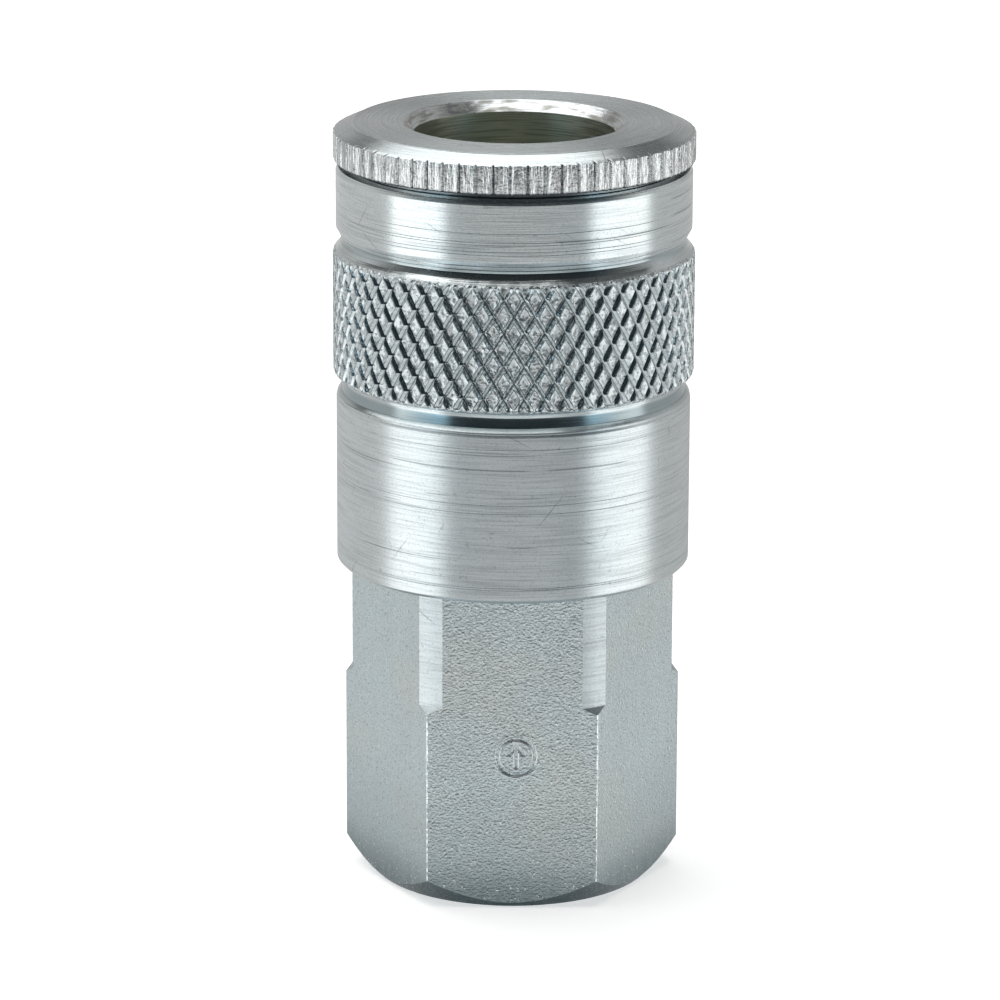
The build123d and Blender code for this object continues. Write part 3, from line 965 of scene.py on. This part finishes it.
def make_spring(name, node, coil_r, wire, turns):
    """A round-wire spring with closed, ground ends, as long as its CAD node."""
    _, bottom, top = box_mm(node)
    line = coil_points(coil_r, bottom, top, wire, turns)
    ways = np.gradient(line, axis=0)
    ways /= np.linalg.norm(ways, axis=1)[:, None]
    outward = line * (1, 1, 0) / coil_r
    side = np.cross(ways, outward)
    turn = even_angles(WIRE_SIDES)[:, None]
    rings = []
    for point, out, across in zip(line, outward, side):
        ring = point + wire / 2 * (np.cos(turn) * out + np.sin(turn) * across)
        ring[:, 2] = np.clip(ring[:, 2], bottom + 0.02, top - 0.02)
        rings.append(ring)
    faces, _ = ring_faces(rings, closed=False)
    last = WIRE_SIDES * len(rings)
    faces += [list(range(WIRE_SIDES)), list(range(last - WIRE_SIDES, last))[::-1]]
    spring = add_object(new_mesh(name, rings, faces))
    finish_piece(spring, [SPRING_STEEL], node, "body")
    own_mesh(spring)


def make_turned_piece(name, node, outline, material, body, closed=True, cutters=()):
    piece = add_object(turned_mesh(name, outline, 128, closed))
    if cutters:
        cut(piece, cutters)
    finish_piece(piece, [material], node, body)


def make_ring(name, node, hole, fillets, material, slot, body):
    """A flat ring with a fillet at each of its four corners."""
    outer, bottom, top = box_mm(node)
    corners = ((hole, bottom), (outer, bottom), (outer, top), (hole, top))
    outline = [(*corner, fillet) for corner, fillet in zip(corners, fillets)]
    make_turned_piece(name, node, outline, material, body)


def make_o_ring(name, node, section_r):
    """A moulded ring with the thin flash line of its mould inside and outside."""
    outer, bottom, top = box_mm(node)
    centre_r, centre_z = outer - section_r, (bottom + top) / 2
    turn = even_angles(32)
    flash = 1 + 0.012 * (np.abs(np.sin(turn)) < 0.1)
    reach = (section_r - 0.01) * flash / flash.max()
    outline = [(centre_r + r * math.cos(a), centre_z + r * math.sin(a)) for r, a in zip(reach, turn)]
    make_turned_piece(name, node, outline, NITRILE, "body")


def make_bush():
    _, bottom, top = box_mm("valve_seat_bush")
    outline = [
        (TIP_BORE_R, bottom, 0.06), (TIP_BORE_R + 0.5, bottom, 0.06),
        (TIP_BORE_R + 0.8, bottom + 0.3, 0.05), (BUSH_R, bottom + 0.3, 0.1),
        (BUSH_R, BUSH_STEP_Z, 0.1), (POCKET_R, BUSH_STEP_Z, 0.05), (POCKET_R, top, 0.15),
        (TIP_BORE_R, top, 0.2),
    ]
    make_turned_piece("seat_bush", "valve_seat_bush", outline, BRASS, "body")


def block(size, centre, turn, fillet):
    """A rounded box cutter."""
    place = Matrix.Translation(Vector(centre) * MM) @ Matrix.Rotation(turn, 4, "Z")
    work = bmesh.new()
    bmesh.ops.create_cube(work, size=MM, matrix=place @ Matrix.Diagonal((*size, 1)))
    bmesh.ops.bevel(work, geom=work.edges[:], offset=fillet * MM, segments=5, affect="EDGES", profile=0.5)
    return mesh_from(work, "block")


def make_poppet():
    """The valve's moving part: a stem, a head and a hollow nose with two windows across it."""
    head, bottom, top = box_mm("valve_poppet")
    outline = [
        (0, bottom), (STEM_R, bottom, 0.25), (STEM_R, HEAD_BOTTOM_Z, 0.3),
        (head, HEAD_BOTTOM_Z, 0.2), (head, HEAD_TOP_Z, 0.08), (NOSE_R, HEAD_TOP_Z, 0.05),
        (NOSE_R, top, 0.25), (NOSE_R - 1.1, top, 0.2), (NOSE_R - 1.1, HEAD_TOP_Z + 0.7, 0.3),
        (0, HEAD_TOP_Z + 0.3),
    ]
    windows = [block((14, 3.6, 3.0), (0, 0, 31.1), turn, 0.45) for turn in (0, math.pi / 2)]
    make_turned_piece("poppet", "valve_poppet", outline, BRASS, "valve", False, windows)


def make_guide():
    """A disc with flow holes and a hub that guides the poppet's stem."""
    outer, bottom, top = box_mm("valve_guide")
    hole_r, hub_r, disc_top = STEM_R + 0.05, 3.5, bottom + 1.5
    outline = [
        (hole_r, bottom, 0.15), (outer, bottom, 0.12), (outer, disc_top, 0.12),
        (hub_r, disc_top, 0.25), (hub_r, top, 0.25), (hole_r, top, 0.12),
    ]
    holes = []
    for angle in even_angles(FLOW_HOLES):
        hole = turned_mesh("hole", [(0, -3), (FLOW_HOLE_R, -3), (FLOW_HOLE_R, 3), (0, 3)], 40, closed=False)
        place = Vector((FLOW_CIRCLE_R * math.cos(angle), FLOW_CIRCLE_R * math.sin(angle), bottom)) * MM
        hole.transform(Matrix.Translation(place))
        holes.append(hole)
    make_turned_piece("guide_disc", "valve_guide", outline, BRASS, "body", cutters=holes)


def dress_balls():
    """The CAD balls stay; they get the polished bearing steel."""
    for number in range(1, 7):
        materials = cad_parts[f"ball_{number}"].data.materials
        materials.clear()
        materials.append(BALL_STEEL)


# ---- studio

# Levels of light. The camera's side holds a table and a dark room; pale walls stand at the sides and behind.
TABLE_LEVEL = 0.88
FRONT_LOW_LEVEL = 0.25
FRONT_HIGH_LEVEL = 0.03
SIDE_LEVEL = 0.6
BACK_HIGH_LEVEL = 0.46
CEILING_LEVEL = 0.1
BACK_RIGHT_LIFT = 0.34  # a pale patch of ceiling, high at the back on the right
FLOOR_FRONT_SHARE = 0.95  # of the level, straight down on the camera's side
FLOOR_BACK_SHARE = 0.14  # and straight down behind
OVERHEAD_LEVEL = 1.8
SOFT_BOXES = ((-65, 20, 0.92), (73, 23, 0.86))  # azimuth from the camera's side, half width, level

# Edges, as heights of a direction of length one, each soft between its two numbers.
FLOOR_EDGE = (-0.92, -0.55)
TABLE_NEAR_EDGE = (-0.95, -0.82)
TABLE_FAR_EDGE = (-0.29, -0.21)
BOX_TOPS = (0.22, 0.4)
CEILING_EDGE = (0.32, 0.52)
OVERHEAD_X = (-1.05, 0.34)  # edges of the overhead box on a ceiling one metre up
OVERHEAD_Y = (-0.4, 1.12)

COOL = (0.68, 1, 1.18, 1)  # tint of the light from below and from the dark room
NEUTRAL = (1.01, 1, 0.985, 1)
WHITE = (1, 1, 1, 1)

VIEW_DOWN = math.radians(15.475)
VIEW_ROLL = math.radians(0.218)
VIEW_TARGET = (-0.985, 0, 29.03)
VIEW_DISTANCE = 398.86
LENS = 187.93


class Studio(Fields):
    """The light as a field of direction: x to the right, y away from the camera, z up."""

    def __init__(self, tree):
        super().__init__(tree)
        self.x, self.y, self.z = self.split(self.node("TexCoord").outputs["Generated"])
        self.azimuth = self.times(self.math("ARCTAN2", self.x, self.times(self.y, -1)), 180 / math.pi)
        self.aside = self.math("ABSOLUTE", self.azimuth)

    def walls(self):
        front = self.ramp(self.z, 0, 0.08, FRONT_LOW_LEVEL, FRONT_HIGH_LEVEL)
        table = self.ramp(self.z, *TABLE_FAR_EDGE, TABLE_LEVEL - FRONT_LOW_LEVEL, 0)
        front = self.plus(front, self.times(table, self.ramp(self.z, *TABLE_NEAR_EDGE)))
        back = self.ramp(self.z, -0.1, 0.1, SIDE_LEVEL, BACK_HIGH_LEVEL)
        side = self.between(self.ramp(self.aside, 110, 150), SIDE_LEVEL, back)
        side = self.times(side, self.ramp(self.x, -0.3, 0.3, 1.02, 0.9))
        low_corner, high_corner = self.ramp(self.aside, 25, 50), self.ramp(self.aside, 60, 90)
        corner = self.between(self.ramp(self.z, 0.02, 0.15), low_corner, high_corner)
        return self.between(corner, front, side)

    def with_soft_boxes(self, level):
        """Adds the upright boxes, which draw together below the horizon."""
        below = self.math("MINIMUM", self.plus(self.z, 0.27), 0)
        spread = self.times(self.azimuth, self.plus(self.times(below, 0.62), 1))
        for centre, half, strength in SOFT_BOXES:
            off = self.math("ABSOLUTE", self.math("SUBTRACT", spread, centre))
            box = self.ramp(off, half - 4, half + 4, strength, 0)
            level = self.plus(level, self.times(box, self.ramp(self.z, *BOX_TOPS, 1, 0)))
        return level

    def ceiling(self):
        lift = self.times(self.ramp(self.x, 0.4, 0.5), self.ramp(self.y, 0.27, 0.36, 0, BACK_RIGHT_LIFT))
        return self.plus(lift, self.ramp(self.y, -0.5, -0.1, FRONT_HIGH_LEVEL, CEILING_LEVEL))

    def overhead(self):
        up = self.math("MAXIMUM", self.z, 0.05)
        light = self.ramp(self.z, 0.3, 0.4, 0, OVERHEAD_LEVEL)
        for value, (low, high) in ((self.x, OVERHEAD_X), (self.y, OVERHEAD_Y)):
            place = self.math("DIVIDE", value, up)
            light = self.times(light, self.ramp(place, low - 0.06, low + 0.06))
            light = self.times(light, self.ramp(place, high - 0.06, high + 0.06, 1, 0))
        return light

    def level(self):
        level = self.with_soft_boxes(self.walls())
        level = self.between(self.ramp(self.z, *CEILING_EDGE), level, self.ceiling())
        share = self.ramp(self.y, -0.15, 0.1, FLOOR_FRONT_SHARE, FLOOR_BACK_SHARE)
        level = self.times(level, self.between(self.ramp(self.z, *FLOOR_EDGE), share, 1))
        return self.plus(level, self.overhead())

    def tint(self):
        lit = self.math("MAXIMUM", self.ramp(self.z, 0, 0.06, 1, 0), self.ramp(self.aside, 50, 80))
        lit = self.math("MAXIMUM", lit, self.ramp(self.z, 0.6, 0.72))
        return self.mix(self.math("MINIMUM", self.ramp(self.z, -0.97, -0.7, 0.55, 1), lit), COOL, NEUTRAL)


def light_world():
    """Lights the object with the studio. The camera itself sees plain white."""
    world = bpy.data.worlds.new("studio")
    world.use_nodes = True
    bpy.context.scene.world = world
    studio = Studio(world.node_tree)
    light = studio.tree.nodes["Background"]
    studio.fill(light, Color=studio.scaled(studio.tint(), studio.level()))
    backdrop = studio.node("Background")
    studio.fill(backdrop, Color=WHITE)
    seen = studio.node("LightPath").outputs["Is Camera Ray"]
    mixed = studio.feed(studio.node("MixShader"), seen, light.outputs[0], backdrop.outputs[0])
    studio.fill(studio.tree.nodes["World Output"], Surface=mixed)


def put_floor():
    """A plain pale light table. It doesn't show in the metal, which reflects the studio alone."""
    work = bmesh.new()
    bmesh.ops.create_circle(work, cap_ends=True, segments=96, radius=8)
    floor = add_object(mesh_from(work, "floor"))
    s = Surface("floor_paint", Roughness=0.9, Emission_Color=WHITE, Emission_Strength=0.55)
    s.set(Base_Color=s.mix(s.noise(0.002, 2), grey(0.93), grey(0.95)))
    floor.data.materials.append(s.material)
    floor.visible_glossy = False


def put_camera():
    """A long lens that looks down on the coupler, a little to the left of its axis."""
    back = Vector((0, -math.cos(VIEW_DOWN), math.sin(VIEW_DOWN)))
    data = bpy.data.cameras.new("camera")
    data.lens = LENS
    data.sensor_width = 36
    data.clip_start, data.clip_end = 0.01, 50
    camera = add_object(data)
    camera.location = (Vector(VIEW_TARGET) + back * VIEW_DISTANCE) * MM
    camera.rotation_mode = "QUATERNION"
    camera.rotation_quaternion = (-back).to_track_quat("-Z", "Y") @ Quaternion((0, 0, 1), VIEW_ROLL)
    bpy.context.scene.camera = camera


# ---- the scene

SLEEVE_STEEL = turned_steel("sleeve_steel", 0.81, (0.36, 0.24), grooved=True)
KNURL_STEEL = knurl_steel()
BARREL_STEEL = turned_steel("barrel_steel", 0.70, (0.40, 0.28), line_depth=0.005, lines=0.9)
RING_STEEL = ring_steel()
BORE_STEEL = bore_steel()
MOUTH_STEEL = mouth_steel()
ADAPTER_STEEL = turned_steel("adapter_steel", 0.72, (0.18, 0.42), (2.2, 3.4), 0.008, 0.4)
EDGE_STEEL = edge_steel()
HEXAGON_STEEL = hexagon_steel()
WASHER_STEEL = washer_steel()
SPRING_STEEL = spring_steel()
BALL_STEEL = ball_steel()
BRASS = brass()
NITRILE = nitrile_rubber()

bpy.context.scene.view_settings.view_transform = "Standard"
put_camera()
light_world()
put_floor()
make_sleeve()
make_barrel()
make_adapter()
make_spring("sleeve_return_spring", "sleeve_spring", 11.05, 1.2, 5.5)
make_spring("valve_return_spring", "valve_spring", 4.35, 0.8, 5.5)
washer = WASHER_HOLE_R, (0.06, 0.16, 0.06, 0.12), WASHER_STEEL, "washer_steel"
make_ring("seat_washer_ring", "spring_seat_washer", *washer, "body")
make_ring("thrust_washer_ring", "sleeve_thrust_washer", *washer, "sleeve_carrier")
make_o_ring("plug_o_ring", "nipple_o_ring", 1)
make_o_ring("joint_o_ring", "adapter_o_ring", 0.68)
make_bush()
make_poppet()
fillets = (0.06, 0.1, 0.16, 0.06)
make_ring("poppet_seal", "valve_seal", NOSE_R + 0.02, fillets, NITRILE, "nitrile_rubber", "valve")
make_ring("seal_retainer", "valve_seal_retainer", NOSE_R, (0.03, 0.06, 0.14, 0.06), BRASS, "brass", "valve")
make_guide()
dress_balls()
